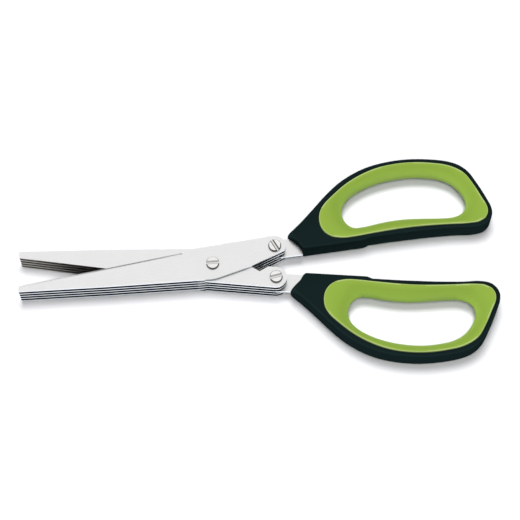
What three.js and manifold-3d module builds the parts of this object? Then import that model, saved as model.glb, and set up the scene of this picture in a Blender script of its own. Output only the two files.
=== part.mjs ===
// Herb scissors: two halves of five stacked blades each, interleaved about one pivot.
// Millimetres, +Z up. The origin is on the pivot axis, in the plane that the scissors rest on.
// +X runs from the pivot towards the handles. Blades point towards -X.
import * as THREE from 'three';
import { mergeVertices } from 'three/addons/utils/BufferGeometryUtils.js';
import Module from 'manifold-3d';

const wasm = await Module();
wasm.setup();

// Driving dimensions: opening and stack
const openAngle = 10.5;            // degrees between the halves as they lie, tips together at zero
const bladesPerHalf = 5;
const bladeThickness = 1.25;
const runningGap = 0.05;           // between a blade and the opposite half's blades
const seatGap = 0.3;               // between a piece and the recess that it sits in
const overrun = 2;                 // how far every cutting body runs past what it cuts

// Driving dimensions: blade outline, measured from the pivot axis
const tipReach = 81.5;
const tipRake = 0.5;
const tipCutHeight = 1.0;
const tipBackDepth = 1.65;
const tipRound = 0.6;
const heelReach = 13.5;
const heelHeight = 6.45;
const shoulderReach = 10;
const shoulderHeight = 7.35;
const backBendReach = 45;
const backBendDepth = 4.3;
const bellyDepth = 7.05;
const bellyRound = 2.2;
const waistReach = 15.9;
const waistDepth = 3.4;
const reliefReach = 7.0;           // relief tip, back from the rear screw's axis
const reliefHeight = 2.1;
const reliefFoot = 3.5;            // relief foot, back from the rear screw's axis
const heelBendShare = 0.25;
const bevelWidth = 0.9;
const bevelDepth = 0.75;

// Driving dimensions: rear screw and tang
const rearReach = 26.7;
const rearOffset = 4.3;
const lobeRadius = 4.5;
const innerCornerAngle = -33;
const tangInner = 0.9;
const tangOuter = 8.6;
const shoulderGap = 0.5;           // between the tang's shoulder and the handle's inner pad
const tongueReach = 12.2;          // how far the tongue runs into the handle
const tongueInner = 3.6;

// Driving dimensions: screws, barrel nuts and spacers
const pivotHeadRadius = 2.75;
const pivotHeadHeight = 1.1;
const pivotSleeveRadius = 2.2;
const pivotClearance = 0.06;
const pivotFlangeRadius = 4.2;
const rearHeadRadius = 2.7;
const rearHeadHeight = 1.1;
const rearSleeveRadius = 1.7;
const rearFlangeRadius = 3.6;
const flangeHeight = 1.0;
const headEdge = 0.3;
const slotWidth = 1.0;
const slotDepth = 0.6;
const sleeveWall = 0.7;
const threadGap = 0.1;
const spacerRadius = 3.6;
const rearClearance = 0.05;

// Driving dimensions: handle shell and grip insert
const handleStart = 32.5;
const handleLength = 87.45;
const handleInner = 1.9;
const handleDepth = 34.75;
const handleThickness = 11.2;
const handleRise = 0.75;           // middle of the handle above the middle of the stack
const edgeRadius = 1.5;
const noseLength = 14.05;
const rimWidth = 1.5;
const frontGrip = 10.7;
const rearGrip = 8.45;
const innerGrip = 5.65;
const outerGrip = 4.9;
const webThickness = 3;
const webWidth = 2;
const lipRound = 0.4;
const outlineSpacing = 2;          // between the points of the handle's smooth outline

// Slot directions of the three screw heads as they lie, in degrees
const pivotSlotAngle = 2;
const rearSlotAngleA = -61;
const rearSlotAngleB = 12.5;

// Facet counts
const sleeveSides = 24;
const spacerSides = 14;
const gripSides = 60;
const bevelSteps = 3;
const lobeSteps = 9;
const curveSteps = 4;
const tipSteps = 2;
const loopRefinement = 4;          // how much finer a loop is sampled before rays meet it

// Outlines of the handle, the insert and the finger hole. Each is shares of its own length and depth.
const frontEdgeShares = [
  [0.002, 0.214], [0.0127, 0.186], [0.0335, 0.135], [0.0508, 0.088], [0.06, 0.035], [0.0704, 0],
];
const padEndShares = [0.37, 0.01];
const handleShares = [
  [0.388, 0.035], [0.531, 0.04], [0.692, 0.036], [0.819, 0.022], [0.906, 0.003], [0.96, 0.029],
  [0.994, 0.118], [1, 0.219], [0.983, 0.371], [0.951, 0.578], [0.921, 0.734], [0.882, 0.837],
  [0.825, 0.909], [0.739, 0.964], [0.635, 0.999], [0.531, 0.996], [0.439, 0.961], [0.353, 0.886],
  [0.28, 0.786], [0.205, 0.639], [0.134, 0.475], [0.066, 0.325], [0.03, 0.258], [0.004, 0.2285],
];
const insertShares = [
  [0, 0.31], [0.004, 0.222], [0.026, 0.125], [0.077, 0.041], [0.153, 0.019], [0.281, 0.031],
  [0.409, 0.044], [0.522, 0.049], [0.678, 0.036], [0.806, 0.016], [0.912, 0], [0.965, 0.031],
  [0.994, 0.106], [1, 0.203], [0.979, 0.346], [0.943, 0.56], [0.898, 0.748], [0.82, 0.875],
  [0.721, 0.946], [0.607, 0.992], [0.494, 1], [0.38, 0.969], [0.274, 0.891], [0.182, 0.784],
  [0.092, 0.635], [0.033, 0.515], [0.006, 0.404],
];
const holeShares = [
  [0, 0.333], [0.021, 0.178], [0.065, 0.066], [0.131, 0.023], [0.221, 0.054], [0.335, 0.087],
  [0.477, 0.094], [0.62, 0.061], [0.772, 0.014], [0.886, 0.009], [0.964, 0.084], [0.998, 0.211],
  [0.998, 0.37], [0.966, 0.562], [0.911, 0.735], [0.829, 0.867], [0.715, 0.951], [0.582, 0.998],
  [0.449, 0.993], [0.316, 0.946], [0.192, 0.857], [0.078, 0.707], [0.015, 0.529],
];
// Rounded section of the insert: how far in from its border, as shares of its width there
const noseSectionShares = [0.25, 0.48, 0.68, 0.84, 0.96];
const noseExponent = 0.62;          // below 1 is fuller than a parabola
// Centre that the insert's sections point to
const centreShares = [0.52, 0.46];

// Lengths and levels, worked out from the handle and the stack
const padStartShare = frontEdgeShares[frontEdgeShares.length - 1][0];
const tangShoulder = handleStart + padStartShare * handleLength - shoulderGap;
const tongueEnd = handleStart + tongueReach;
const layerPitch = bladeThickness + runningGap;
const stackBase = flangeHeight + runningGap;
const layerCount = 2 * bladesPerHalf;
const stackTop = stackBase + layerCount * layerPitch - runningGap;
const handleMiddle = (stackBase + stackTop) / 2 + handleRise;
const spacerThickness = 2 * layerPitch - bladeThickness;
const tangBlade = Math.ceil(bladesPerHalf / 2);

const steelColour = { color: 0xdedddc, roughness: 0.32, metalness: 1 };
const screwColour = { color: 0xcfcdca, roughness: 0.28, metalness: 1 };
const shellColour = { color: 0x1a2223, roughness: 0.55, metalness: 0 };
const insertColour = { color: 0x8cb23c, roughness: 0.6, metalness: 0 };

// The two halves: side is +1 where the cutting edge faces +Y, and -1 on the turned-over half
const halfA = { name: 'a', side: 1, topLayer: 0, relieved: false, slotAngle: rearSlotAngleA };
const halfB = { name: 'b', side: -1, topLayer: 1, relieved: true, slotAngle: rearSlotAngleB };

const radians = THREE.MathUtils.degToRad;

function cleanGeometry(geometry) {
  const bare = new THREE.BufferGeometry();
  bare.setAttribute('position', geometry.getAttribute('position').clone());
  if (geometry.index) bare.setIndex(geometry.index.clone());
  const merged = mergeVertices(bare);
  const index = merged.index.array;
  const kept = [];
  for (let i = 0; i < index.length; i += 3) {
    const [a, b, c] = [index[i], index[i + 1], index[i + 2]];
    if (a !== b && b !== c && c !== a) kept.push(a, b, c);
  }
  merged.setIndex(kept);
  return merged;
}

function toSolid(geometry) {
  const clean = cleanGeometry(geometry);
  return new wasm.Manifold(new wasm.Mesh({
    numProp: 3,
    vertProperties: new Float32Array(clean.getAttribute('position').array),
    triVerts: new Uint32Array(clean.index.array),
  }));
}

function fromSolid(solid) {
  const mesh = solid.getMesh();
  const geometry = new THREE.BufferGeometry();
  geometry.setAttribute('position', new THREE.BufferAttribute(new Float32Array(mesh.vertProperties), 3));
  geometry.setIndex(Array.from(mesh.triVerts));
  geometry.computeVertexNormals();
  return geometry;
}

function cut(geometry, ...tools) {
  let solid = toSolid(geometry);
  for (const tool of tools) solid = solid.subtract(toSolid(tool));
  return fromSolid(solid);
}

function circlePoints(x, y, radius, sides) {
  const points = [];
  for (let i = 0; i < sides; i += 1) {
    const angle = (2 * Math.PI * i) / sides;
    points.push(new THREE.Vector2(x + radius * Math.cos(angle), y + radius * Math.sin(angle)));
  }
  return points;
}

// A flat plate or prism of an outline, from one level up to another
function prism(outline, low, high, holes = []) {
  const shape = new THREE.Shape(outline);
  for (const hole of holes) shape.holes.push(new THREE.Path(hole));
  const geometry = new THREE.ExtrudeGeometry(shape, { depth: high - low, bevelEnabled: false });
  return geometry.translate(0, 0, low);
}

// The outline moved inwards, each point along the mean of its two sides' normals
function insetOutline(outline, distance) {
  const count = outline.length;
  return outline.map((point, i) => {
    const before = outline[(i + count - 1) % count];
    const after = outline[(i + 1) % count];
    const incoming = point.clone().sub(before).normalize();
    const outgoing = after.clone().sub(point).normalize();
    const along = incoming.add(outgoing).normalize();
    return new THREE.Vector2(point.x - along.y * distance, point.y + along.x * distance);
  });
}

// A slab of a counter-clockwise outline with its upper and lower edges rounded
function roundedSlab(outline, low, high) {
  const count = outline.length;
  const rows = [];
  for (let step = 0; step <= bevelSteps; step += 1) {
    const turn = (Math.PI / 2) * (step / bevelSteps);
    const inset = edgeRadius * (1 - Math.sin(turn));
    rows.push({ inset, level: low + edgeRadius * (1 - Math.cos(turn)) });
  }
  for (const row of [...rows].reverse()) {
    rows.push({ inset: row.inset, level: low + high - row.level });
  }
  const positions = [];
  for (const row of rows) {
    for (const point of insetOutline(outline, row.inset)) positions.push(point.x, point.y, row.level);
  }
  const index = [];
  for (let row = 0; row < rows.length - 1; row += 1) {
    for (let i = 0; i < count; i += 1) {
      const next = (i + 1) % count;
      const [a, b] = [row * count + i, row * count + next];
      index.push(a, b, b + count, a, b + count, a + count);
    }
  }
  const lastRow = (rows.length - 1) * count;
  for (const [a, b, c] of THREE.ShapeUtils.triangulateShape(outline, [])) {
    index.push(a, c, b, lastRow + a, lastRow + b, lastRow + c);
  }
  const geometry = new THREE.BufferGeometry();
  geometry.setAttribute('position', new THREE.BufferAttribute(new Float32Array(positions), 3));
  geometry.setIndex(index);
  return geometry;
}

// A turned piece about Z: its profile is [radius, level] pairs
function turned(profile, sides) {
  const points = profile.map(([radius, level]) => new THREE.Vector2(radius, level));
  return new THREE.LatheGeometry(points, sides).rotateX(Math.PI / 2);
}

function namedMesh(name, geometry, colour) {
  const material = new THREE.MeshStandardMaterial(colour);
  const mesh = new THREE.Mesh(cleanGeometry(geometry), material);
  mesh.geometry.computeVertexNormals();
  mesh.name = name;
  return mesh;
}

function sided(points, side) {
  return points.map(([x, y]) => new THREE.Vector2(x, side * y));
}

function arcPoints(x, y, radius, fromAngle, toAngle, steps) {
  const points = [];
  for (let i = 0; i <= steps; i += 1) {
    const angle = radians(fromAngle + ((toAngle - fromAngle) * i) / steps);
    points.push([x + radius * Math.cos(angle), y + radius * Math.sin(angle)]);
  }
  return points;
}

// A curve from one point to another that leaves and arrives towards a corner
function bendPoints(start, corner, end, steps) {
  const curve = new THREE.QuadraticBezierCurve(
    new THREE.Vector2(...start), new THREE.Vector2(...corner), new THREE.Vector2(...end));
  return curve.getPoints(steps).map((point) => [point.x, point.y]);
}

// The point at a distance from one point towards another
function stepTowards(from, to, distance) {
  const origin = new THREE.Vector2(...from);
  const step = new THREE.Vector2(...to).sub(origin).setLength(distance);
  return origin.add(step).toArray();
}

// A corner rounded over a distance on both sides
function roundedCorner(before, corner, after, distance, steps) {
  const start = stepTowards(corner, before, distance);
  const end = stepTowards(corner, after, distance);
  return bendPoints(start, corner, end, steps);
}

// Rear of a plain blade: a lobe round the rear screw, from its inner corner to its top
function lobeOutline(fromAngle) {
  return arcPoints(rearReach, rearOffset, lobeRadius, fromAngle, 90, lobeSteps);
}

// Rear of the blade that carries the tang: it runs on into the handle
function tangOutline(relieved) {
  const start = relieved
    ? arcPoints(rearReach, rearOffset, lobeRadius, -90, tangStartAngle(), curveSteps)
    : [[waistReach + (tangInner + waistDepth) * innerSlope(), tangInner]];
  return [
    ...start,
    [tangShoulder, tangInner],
    [tangShoulder, tongueInner],
    [tongueEnd, tongueInner],
    [tongueEnd, tangOuter],
    [rearReach + lobeRadius, tangOuter],
    [rearReach, rearOffset + lobeRadius],
  ];
}

function tangStartAngle() {
  return THREE.MathUtils.radToDeg(Math.asin((tangInner - rearOffset) / lobeRadius));
}

// Run of the inner edge from the waist to the lobe's inner corner, in X per Y
function innerSlope() {
  const angle = radians(innerCornerAngle);
  const cornerX = rearReach + lobeRadius * Math.cos(angle);
  const cornerY = rearOffset + lobeRadius * Math.sin(angle);
  return (cornerX - waistReach) / (cornerY + waistDepth);
}

function bladeOutline(half, number) {
  const tipCut = [-tipReach + tipRake, tipCutHeight];
  const tipBack = [-tipReach, -tipBackDepth];
  const backBend = [-backBendReach, -backBendDepth];
  const bellyCorner = [0, -bellyDepth];
  const waist = [waistReach, -waistDepth];
  const heelEdge = [-heelReach, heelHeight];
  const relief = [
    [rearReach - reliefReach, reliefHeight], [rearReach - reliefFoot, rearOffset - lobeRadius],
  ];
  const inner = half.relieved ? relief : [waist];
  const rear = number === tangBlade
    ? tangOutline(half.relieved)
    : lobeOutline(half.relieved ? -90 : innerCornerAngle);
  const heelBend = heelHeight + heelBendShare * (shoulderHeight - heelHeight);
  const heel = bendPoints(
    [-shoulderReach, shoulderHeight],
    [-(shoulderReach + heelReach) / 2, heelBend],
    heelEdge,
    curveSteps);
  return [
    ...roundedCorner(tipCut, tipBack, backBend, tipRound, tipSteps),
    backBend,
    ...roundedCorner(backBend, bellyCorner, waist, bellyRound, curveSteps),
    ...inner,
    ...rear,
    ...heel,
    ...roundedCorner(heelEdge, tipCut, tipBack, tipRound, tipSteps),
  ];
}

// Wedge that grinds one face of a blade along its straight cutting edge
function bevelWedge(half, low) {
  const start = new THREE.Vector2(-tipReach + tipRake, half.side * tipCutHeight);
  const end = new THREE.Vector2(-heelReach, half.side * heelHeight);
  const along = end.clone().sub(start);
  const length = along.length();
  along.normalize();
  const slope = bevelDepth / bevelWidth;
  const section = new THREE.Shape([
    new THREE.Vector2(-bevelWidth, 0),
    new THREE.Vector2(overrun, -slope * (bevelWidth + overrun)),
    new THREE.Vector2(overrun, overrun),
    new THREE.Vector2(-bevelWidth, overrun),
  ]);
  const wedge = new THREE.ExtrudeGeometry(section, { depth: length + 2 * overrun, bevelEnabled: false });
  const outward = new THREE.Vector3(-along.y, along.x, 0).multiplyScalar(half.side);
  const up = new THREE.Vector3(0, 0, half.side);
  const forward = new THREE.Vector3().crossVectors(outward, up);
  const origin = new THREE.Vector3(start.x, start.y, half.side > 0 ? low + bladeThickness : low);
  const backward = forward.dot(new THREE.Vector3(along.x, along.y, 0)) < 0;
  origin.addScaledVector(forward, backward ? -length - overrun : -overrun);
  const matrix = new THREE.Matrix4().makeBasis(outward, up, forward).setPosition(origin);
  return wedge.applyMatrix4(matrix);
}

function bladeLevel(half, number) {
  const layer = 2 * (number - 1) + half.topLayer;
  return stackTop - bladeThickness - layer * layerPitch;
}

function bladeGeometry(half, number) {
  const low = bladeLevel(half, number);
  const pivotHole = circlePoints(0, 0, pivotSleeveRadius + pivotClearance, sleeveSides);
  const rearHole = circlePoints(
    rearReach, half.side * rearOffset, rearSleeveRadius + rearClearance, sleeveSides);
  const plate = prism(sided(bladeOutline(half, number), half.side), low, low + bladeThickness,
    [pivotHole, rearHole]);
  return cut(plate, bevelWedge(half, low));
}

// Cheese head screw, seated on a level, with its plain shank inside the barrel nut's sleeve
function screwGeometry(seat, end, headRadius, headHeight, sleeveRadius, slotAngle) {
  const shankRadius = sleeveRadius - sleeveWall - threadGap;
  const top = seat + headHeight;
  const body = turned([
    [0, end], [shankRadius, end], [shankRadius, seat], [headRadius, seat],
    [headRadius, top - headEdge], [headRadius - headEdge, top], [0, top],
  ], sleeveSides);
  const slot = new THREE.BoxGeometry(2 * (headRadius + overrun), slotWidth, slotDepth + overrun);
  slot.translate(0, 0, top + (overrun - slotDepth) / 2);
  slot.rotateZ(radians(slotAngle));
  return cut(body, slot);
}

// Barrel nut: a low flange below the stack with a sleeve that the blades sit on
function barrelNutGeometry(seat, sleeveTop, sleeveRadius, flangeRadius) {
  const bore = sleeveRadius - sleeveWall;
  return turned([
    [0, seat - flangeHeight], [flangeRadius - headEdge, seat - flangeHeight],
    [flangeRadius, seat - flangeHeight + headEdge], [flangeRadius, seat], [sleeveRadius, seat],
    [sleeveRadius, sleeveTop], [bore, sleeveTop], [bore, seat], [0, seat],
  ], sleeveSides);
}

function spacerGeometry(low) {
  const bore = rearSleeveRadius + rearClearance;
  return turned([
    [bore, low], [spacerRadius, low], [spacerRadius, low + spacerThickness],
    [bore, low + spacerThickness], [bore, low],
  ], spacerSides);
}

// Points of a smooth curve through places, at about an even spacing
function smoothPoints(places, closed, spacing) {
  const curve = new THREE.CatmullRomCurve3(
    places.map(([x, y]) => new THREE.Vector3(x, y, 0)), closed, 'centripetal');
  const count = Math.max(2, Math.round(curve.getLength() / spacing));
  return curve.getSpacedPoints(count).map((point) => [point.x, point.y]);
}

function placed(shares, startX, startY, length, depth) {
  return shares.map(([x, y]) => [startX + x * length, startY + y * depth]);
}

// The insert's and the finger hole's boxes: least X, least Y, length and depth
const insertStart = handleStart + noseLength;
const insertLength = handleLength - noseLength - rimWidth;
const insertInner = handleInner + rimWidth;
const insertDepth = handleDepth - 2 * rimWidth;
const holeStart = insertStart + frontGrip;
const holeLength = insertLength - frontGrip - rearGrip;
const holeInner = insertInner + innerGrip;
const holeDepth = insertDepth - innerGrip - outerGrip;

const handleBox = [handleStart, handleInner, handleLength, handleDepth];
const insertBox = [insertStart, insertInner, insertLength, insertDepth];
const holeBox = [holeStart, holeInner, holeLength, holeDepth];
const [gripCentre] = placed([centreShares], ...insertBox);

// The nose's front edge, the straight inner pad up to its step, and the loop round to the nose again
function handleOutline() {
  const front = smoothPoints(placed(frontEdgeShares, ...handleBox), false, outlineSpacing);
  const padEnd = placed([padEndShares], ...handleBox);
  const loop = smoothPoints(placed(handleShares, ...handleBox), false, outlineSpacing);
  return [...front, ...padEnd, ...loop];
}

// Where a ray from the grip's centre meets a smooth loop, for each of the grip's steps round
function polarLoop(shares, box) {
  const dense = smoothPoints(placed(shares, ...box), true, outlineSpacing / loopRefinement);
  const points = [];
  for (let i = 0; i < gripSides; i += 1) {
    const turn = (2 * Math.PI * i) / gripSides;
    const ray = [insertLength * Math.cos(turn), insertDepth * Math.sin(turn)];
    points.push(meetLoop(dense, ray));
  }
  return points;
}

function meetLoop(loop, ray) {
  const [centreX, centreY] = gripCentre;
  for (let i = 0; i < loop.length - 1; i += 1) {
    const [ax, ay] = [loop[i][0] - centreX, loop[i][1] - centreY];
    const [bx, by] = [loop[i + 1][0] - centreX, loop[i + 1][1] - centreY];
    const sideA = ray[0] * ay - ray[1] * ax;
    const sideB = ray[0] * by - ray[1] * bx;
    if (sideA <= 0 && sideB > 0) {
      const share = sideA / (sideA - sideB);
      const [x, y] = [ax + share * (bx - ax), ay + share * (by - ay)];
      if (x * ray[0] + y * ray[1] > 0) return [centreX + x, centreY + y];
    }
  }
  return undefined;
}

const borderLoop = polarLoop(insertShares, insertBox);
const holeLoop = polarLoop(holeShares, holeBox);

// The border moved in towards the finger hole by a distance
function insetBorder(distance) {
  return borderLoop.map(([x, y], i) => {
    const [dx, dy] = [holeLoop[i][0] - x, holeLoop[i][1] - y];
    const share = distance / Math.hypot(dx, dy);
    return [x + share * dx, y + share * dy];
  });
}

// Black shell: a round-edged loop with a pocket on each face for the grip insert, a web between
// the pockets that the insert wraps round, and a socket in its nose for the tang
function shellGeometry(half) {
  const halfHeight = handleThickness / 2;
  const outline = sided(handleOutline(), half.side);
  if (half.side < 0) outline.reverse();
  const body = roundedSlab(outline, handleMiddle - halfHeight, handleMiddle + halfHeight);
  const border = sided(borderLoop, half.side);
  const webEdge = sided(insetBorder(webWidth), half.side);
  const upper = prism(border, handleMiddle + webThickness / 2, handleMiddle + halfHeight + overrun);
  const lower = prism(border, handleMiddle - halfHeight - overrun, handleMiddle - webThickness / 2);
  const through = prism(webEdge, handleMiddle - halfHeight - overrun, handleMiddle + halfHeight + overrun);
  return cut(body, upper, lower, through, socketGeometry(half));
}

// Socket in the shell's nose: the tang's outline, wider all round by the seat's gap
function socketGeometry(half) {
  const low = bladeLevel(half, tangBlade);
  const outline = [
    [rearReach, tangInner - seatGap], [tangShoulder + seatGap, tangInner - seatGap],
    [tangShoulder + seatGap, tongueInner - seatGap], [tongueEnd + seatGap, tongueInner - seatGap],
    [tongueEnd + seatGap, tangOuter + seatGap], [rearReach, tangOuter + seatGap],
  ];
  return prism(sided(outline, half.side), low, low + bladeThickness);
}

// Height of the insert's rounded face above the middle, at a share of its width
function roundedHeight(share) {
  return (handleThickness / 2) * (1 - share * share) ** noseExponent;
}

// Section of the insert: each row has a level above the middle and a distance in from the border,
// which is an inset and a share of the way from the border to the finger hole
function insertRows() {
  const halfHeight = handleThickness / 2;
  const grooveHalf = webThickness / 2;
  const rows = [{ inset: seatGap, share: 0, level: halfHeight - lipRound }];
  rows.push({ inset: seatGap + lipRound, share: 0, level: halfHeight });
  for (const share of noseSectionShares) rows.push({ inset: 0, share, level: roundedHeight(share) });
  rows.push({ inset: 0, share: 1, level: 0 });
  for (const row of rows.slice(0, -1).reverse()) rows.push({ ...row, level: -row.level });
  rows.push({ inset: seatGap, share: 0, level: -grooveHalf });
  rows.push({ inset: webWidth + seatGap, share: 0, level: -grooveHalf });
  rows.push({ inset: webWidth + seatGap, share: 0, level: grooveHalf });
  rows.push({ inset: seatGap, share: 0, level: grooveHalf });
  return rows;
}

// Grip insert: a soft ring with a rounded inner face, grooved on its outer side for the shell's web
function insertGeometry(half) {
  const rows = insertRows();
  const positions = [];
  for (const row of rows) {
    for (let i = 0; i < gripSides; i += 1) {
      const [x, y] = borderLoop[i];
      const [dx, dy] = [holeLoop[i][0] - x, holeLoop[i][1] - y];
      const share = row.share + row.inset / Math.hypot(dx, dy);
      positions.push(x + share * dx, half.side * (y + share * dy), handleMiddle + row.level);
    }
  }
  const index = [];
  for (let row = 0; row < rows.length; row += 1) {
    const nextRow = (row + 1) % rows.length;
    for (let i = 0; i < gripSides; i += 1) {
      const next = (i + 1) % gripSides;
      const [a, b] = [row * gripSides + i, row * gripSides + next];
      const [c, d] = [nextRow * gripSides + next, nextRow * gripSides + i];
      if (half.side > 0) index.push(a, b, c, a, c, d);
      else index.push(a, c, b, a, d, c);
    }
  }
  const geometry = new THREE.BufferGeometry();
  geometry.setAttribute('position', new THREE.BufferAttribute(new Float32Array(positions), 3));
  geometry.setIndex(index);
  return geometry;
}

function addBlades(group, half) {
  for (let number = 1; number <= bladesPerHalf; number += 1) {
    group.add(namedMesh(`blade_${half.name}_${number}`, bladeGeometry(half, number), steelColour));
  }
}

// Everything on the rear screw: the spacers between the half's own blades, the screw and its nut
function addRearFastening(group, half) {
  const stack = new THREE.Group();
  stack.position.set(rearReach, half.side * rearOffset, 0);
  for (let number = 1; number < bladesPerHalf; number += 1) {
    const low = bladeLevel(half, number) - spacerThickness;
    stack.add(namedMesh(`spacer_${half.name}_${number}`, spacerGeometry(low), screwColour));
  }
  const headSeat = bladeLevel(half, 1) + bladeThickness;
  const nutSeat = bladeLevel(half, bladesPerHalf);
  const screw = screwGeometry(headSeat, nutSeat + seatGap, rearHeadRadius, rearHeadHeight,
    rearSleeveRadius, half.slotAngle - halfTurn(half));
  const nut = barrelNutGeometry(nutSeat, headSeat - seatGap, rearSleeveRadius, rearFlangeRadius);
  stack.add(namedMesh(`rear_screw_${half.name}`, screw, screwColour));
  stack.add(namedMesh(`rear_barrel_nut_${half.name}`, nut, screwColour));
  group.add(stack);
}

function addHandle(group, half) {
  group.add(namedMesh(`handle_shell_${half.name}`, shellGeometry(half), shellColour));
  group.add(namedMesh(`grip_insert_${half.name}`, insertGeometry(half), insertColour));
}

function addPivot(group) {
  const screw = screwGeometry(stackTop, flangeHeight + seatGap, pivotHeadRadius, pivotHeadHeight,
    pivotSleeveRadius, pivotSlotAngle - halfTurn(halfA));
  const nut = barrelNutGeometry(flangeHeight, stackTop - seatGap, pivotSleeveRadius, pivotFlangeRadius);
  group.add(namedMesh('pivot_screw', screw, screwColour));
  group.add(namedMesh('pivot_barrel_nut', nut, screwColour));
}

// Turn of a half about the pivot as it lies, in degrees
function halfTurn(half) {
  return (half.side * openAngle) / 2;
}

function halfGroup(half) {
  const group = new THREE.Group();
  group.rotation.z = radians(halfTurn(half));
  addBlades(group, half);
  addRearFastening(group, half);
  addHandle(group, half);
  return group;
}

const scissors = new THREE.Group();
const groupA = halfGroup(halfA);
addPivot(groupA);
scissors.add(groupA, halfGroup(halfB));

export default scissors;
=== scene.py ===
import math

import bmesh
import bpy
from mathutils import Matrix, Vector
from mathutils.geometry import delaunay_2d_cdt


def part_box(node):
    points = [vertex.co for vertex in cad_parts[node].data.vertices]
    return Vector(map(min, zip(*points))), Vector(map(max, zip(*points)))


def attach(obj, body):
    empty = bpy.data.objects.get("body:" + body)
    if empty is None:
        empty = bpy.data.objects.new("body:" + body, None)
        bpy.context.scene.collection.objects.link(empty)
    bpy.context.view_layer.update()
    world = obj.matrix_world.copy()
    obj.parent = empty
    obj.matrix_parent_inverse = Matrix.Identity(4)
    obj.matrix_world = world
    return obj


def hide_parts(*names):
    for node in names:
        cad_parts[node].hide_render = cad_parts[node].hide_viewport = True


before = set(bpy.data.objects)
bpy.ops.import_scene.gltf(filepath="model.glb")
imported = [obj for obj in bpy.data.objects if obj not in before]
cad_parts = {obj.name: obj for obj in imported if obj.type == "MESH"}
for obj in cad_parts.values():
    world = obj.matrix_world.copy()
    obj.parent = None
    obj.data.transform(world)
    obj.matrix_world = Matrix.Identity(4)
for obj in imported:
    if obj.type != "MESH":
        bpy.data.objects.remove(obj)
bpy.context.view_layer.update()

MM = 0.001

# Camera, in degrees and metres: where it stands, what it looks at and how wide it sees
VIEW_ELEVATION = 68.4
VIEW_AZIMUTH = -2.5
VIEW_DISTANCE = 0.79
VIEW_TARGET = Vector((0.01976, 0.00061, 0.01395))
VIEW_ANGLE = 15.63
SENSOR_WIDTH = 36

# Light tent, which faces mirror but which doesn't light them: its strengths, and between which heights it
# goes from dark to light, where 0 is level and 1 is overhead
TENT_LIGHT = 1.03
TENT_DARK = 0.25
TENT_FOOT = 0.0
TENT_TOP = 0.6

# Lamps, which no face mirrors: their distance, and the tilt to the north of overhead, the size and the power
# of each, in degrees, metres and watts
LAMP_DISTANCE = 1.3
KEY_TILT = 9.0
KEY_SIZE = 0.5
KEY_POWER = 20.2
FILL_TILT = -19.0
FILL_SIZE = 0.36
FILL_POWER = 12.2

# Floor: how far it reaches from the pivot in metres, and its look
FLOOR_REACH = 3.0
FLOOR_COLOUR = (0.597, 0.600, 0.615)
FLOOR_ROUGHNESS = 0.9

# How far each half is turned from the line between them, in degrees
HALF_TURN = {"a": 5.25, "b": -5.25}

# Shell: the roundings of its edge and of its pocket's rim, half the thickness and the width of the web in
# the pocket, and the nose: how long its rounding in height is, and the share of the height at its tip
SHELL_ROUND = 1.5 * MM
POCKET_ROUND = 0.18 * MM
WEB_HALF = 1.5 * MM
WEB_WIDTH = 2.0 * MM
NOSE_ROUND = 4.0 * MM
NOSE_LEAST = 0.35

# Grip: its clearance in the pocket, the rounding of its lip and the width of the lip's painted highlight, the
# form of its crown, how far its inner edge sinks, and the fineness of its surface
SEAT_GAP = 0.3 * MM
LIP_ROUND = 0.4 * MM
LIP_HIGHLIGHT_WIDTH = 0.8 * MM
LIP_STEPS = 4
CROWN_EXPONENT = 0.62
HOLE_DROP = 0.45 * MM
GRIP_RAYS = 288
GRIP_ROWS = 26

# The lip's place among the grip's materials, whose lip material is a painted highlight
LIP = 1

# Outlines and surfaces: their fineness, how near two points are one, and the turns in degrees from which a
# point is kept or is a corner
OUTLINE_STEP = 0.4 * MM
WELD = 0.001 * MM
TRIANGLE_WELD = WELD / 10
SAME_PLACE = 0.02 * MM
STRAIGHT_ANGLE = 0.3
CORNER_ANGLE = 20.0
SMOOTH_PASSES = 4
ROUND_STEPS = 7

# A rounding's row of points is left out where it comes nearer to its own edge than this share of its inset
ROW_CLEARANCE = 0.97

# The triangulation's output that covers the whole hull
WHOLE_HULL = 0

# The angles, in degrees, from which an edge is sharp
HANDLE_SHARP = 40
SCREW_SHARP = 30
BLADE_SHARP = 35

# Blades: how many each half has, which one runs on as its tang, their rear lobes, how far ahead of the pivot
# their cutting edges start, and the small bevel on all their edges
BLADES_PER_HALF = 5
TANG_BLADE = 3
LOBE_RADIUS = 4.5 * MM
EDGE_START = 10.0 * MM
EDGE_ROUND = 0.07 * MM
EDGE_STEPS = 2

# Steel: the two colours that its faces vary between, and the colour of its steep edges, which is paler and
# bluer than the faces: a painted reflection of the floor
STEEL_COLOURS = ((0.788, 0.784, 0.784), (0.800, 0.800, 0.796))
EDGE_REFLECTION_COLOUR = (0.90, 0.96, 1.0)

# Sides in the stack, painted dark as the shade in the gaps: how far from its middle height a blade's side is
# painted dark beside a gap, how far inside its rear lobe the tang blade stays without painted shade, and the
# colours of the painted shade beside a gap, the second, less dark, on the side with the cutting edge
GAP_SHADE_BAND = (0.27 * MM, 0.36 * MM)
GAP_SHADE_MARGIN = 0.45 * MM
GAP_SHADE_COLOUR = (0.003, 0.004, 0.006)
GROUND_GAP_SHADE_COLOUR = (0.22, 0.21, 0.195)

# Painted shade where the two stacks cross near the pivot: where they cross, over what distance from there a
# side is darkened, and how much. The top blade's side, which meets the next blade's face, gets the painted
# shade further along.
CROSSING = -3.5 * MM
CROSSING_SPAN = (1.5 * MM, 3.5 * MM)
CROSSING_SHADE = 0.85
TOP_CONTACT_SPAN = (16.0 * MM, 20.0 * MM)
TOP_CONTACT_SHADE = 0.5

# Ground bevels of the cutting edges: from the one colour to the other over a span along the blade, darker
# towards the heel as painted shade deeper in the mouth, and how much rougher than the faces they are
GROUND_SPAN = (-76.0 * MM, -48.0 * MM)
GROUND_TIP_COLOUR = (0.78, 0.77, 0.73)
GROUND_HEEL_SHADE = (0.17, 0.16, 0.145)
GROUND_ROUGHNESS = 0.4
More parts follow.
